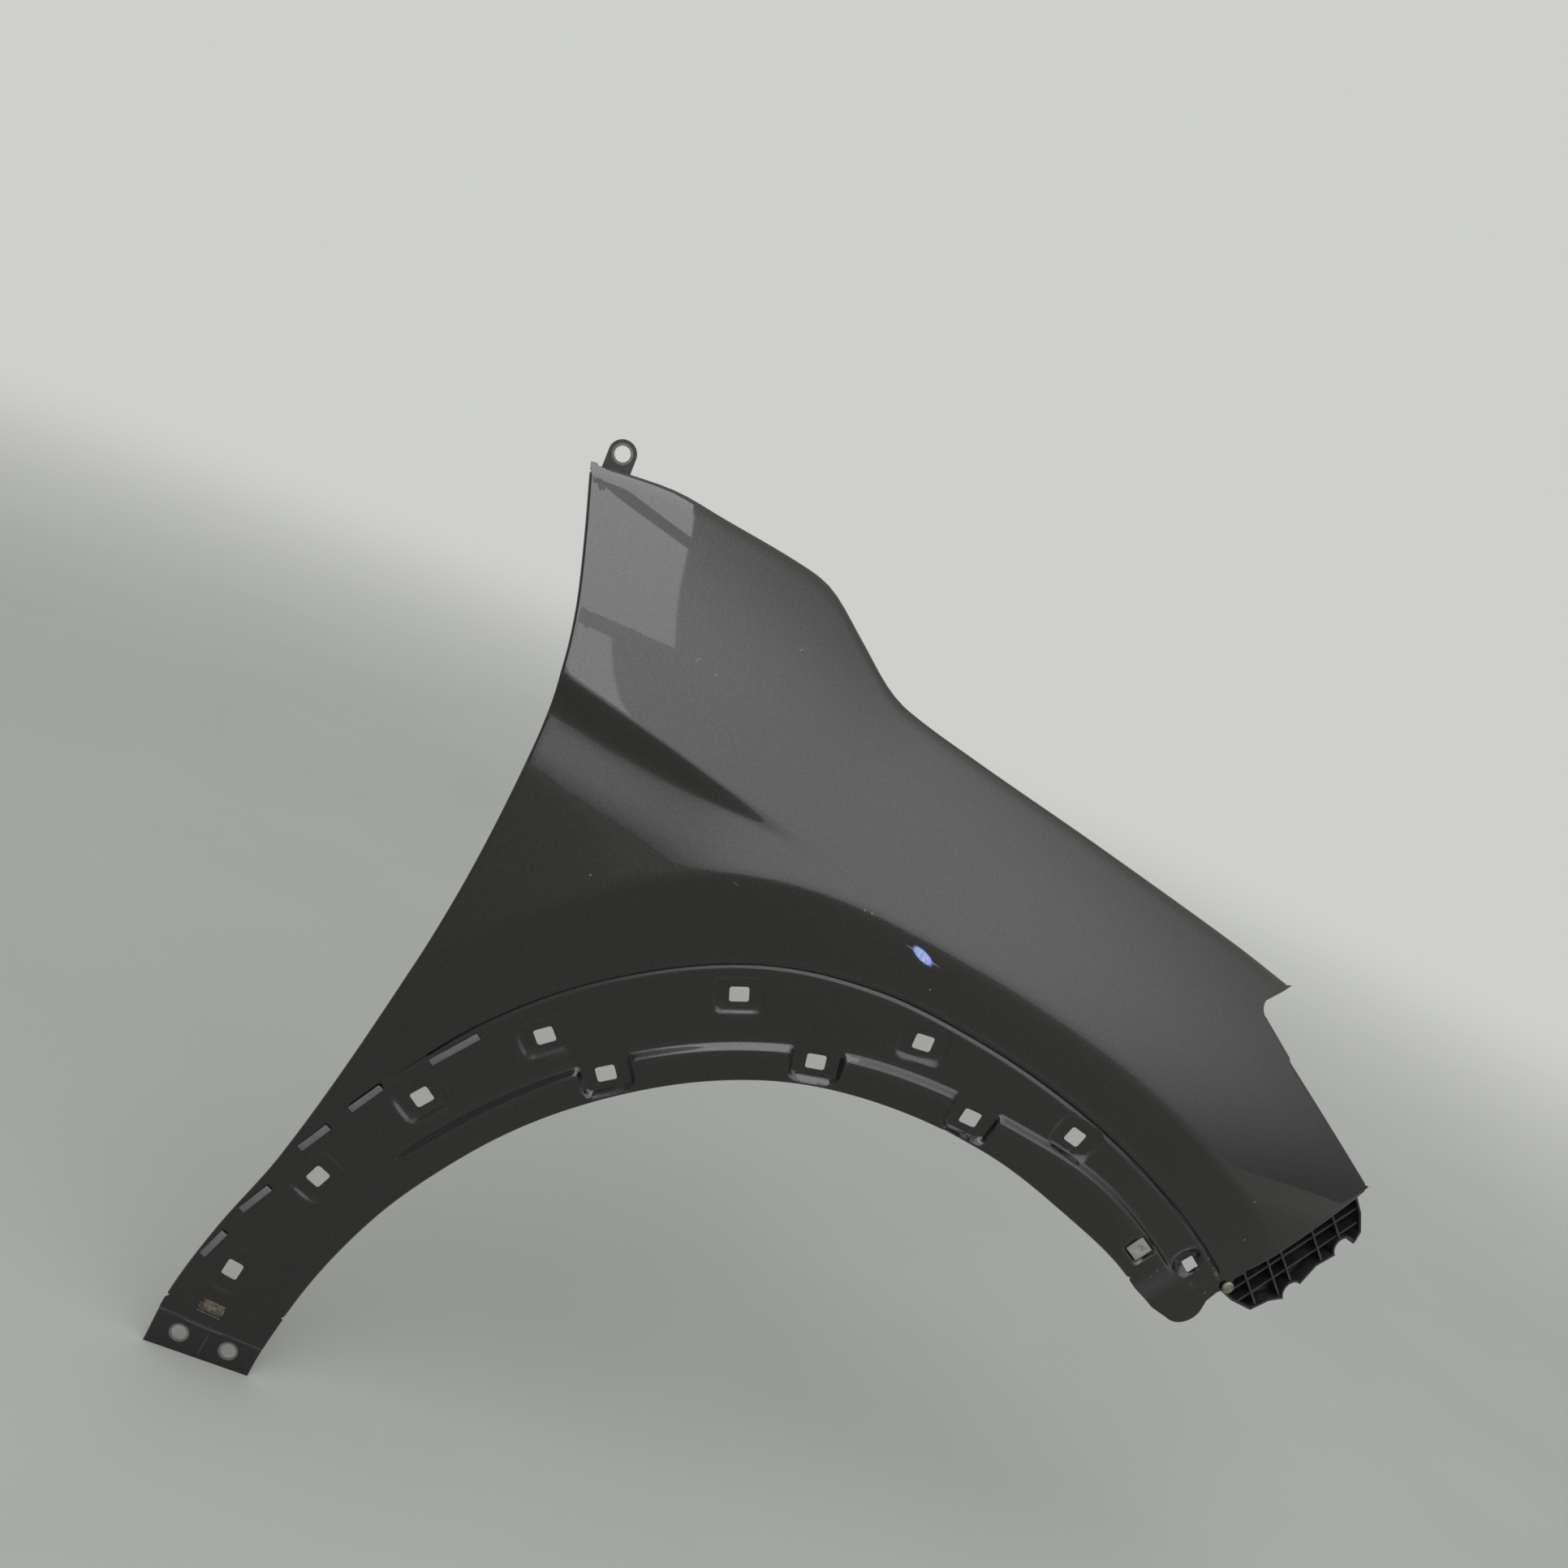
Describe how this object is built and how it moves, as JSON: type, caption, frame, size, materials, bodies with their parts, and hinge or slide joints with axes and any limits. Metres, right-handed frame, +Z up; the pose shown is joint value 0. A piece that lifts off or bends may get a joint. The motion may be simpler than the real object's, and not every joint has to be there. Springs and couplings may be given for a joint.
{
  "type": "car fender",
  "caption": "Pressed steel front fender for the right side of a small SUV, with folded edges, clip seats around the wheel arch, a bolting foot and lug, and a ribbed plastic bumper guide.",
  "frame": {"origin": "on the inner face of the bolting foot at the bottom of the rear leg, between its two bolt holes", "axes": "the car's own: +X forward, +Y inboard, +Z up; the painted face looks towards -Y"},
  "size_m": [0.8544, 0.1504, 0.7359],
  "materials": {
    "paint": "dark grey-brown metallic paint under clear coat",
    "black_plastic": "moulded black, satin",
    "rivet_metal": "dull",
    "clip_steel": "tarnished zinc",
    "pale_plastic": "matte, pale grey",
    "foam": "grey foam tape"
  },
  "bodies": {
    "root": {"fender_panel": "paint", "bumper_guide": "black_plastic", "guide_rivet": "rivet_metal", "foot_spring_clip": "clip_steel", "arch_plug": "pale_plastic", "foam_tape_1": "foam", "foam_tape_2": "foam", "foam_tape_3": "foam", "foam_tape_4": "foam", "foam_tape_5": "foam"}
  },
  "joints": []
}
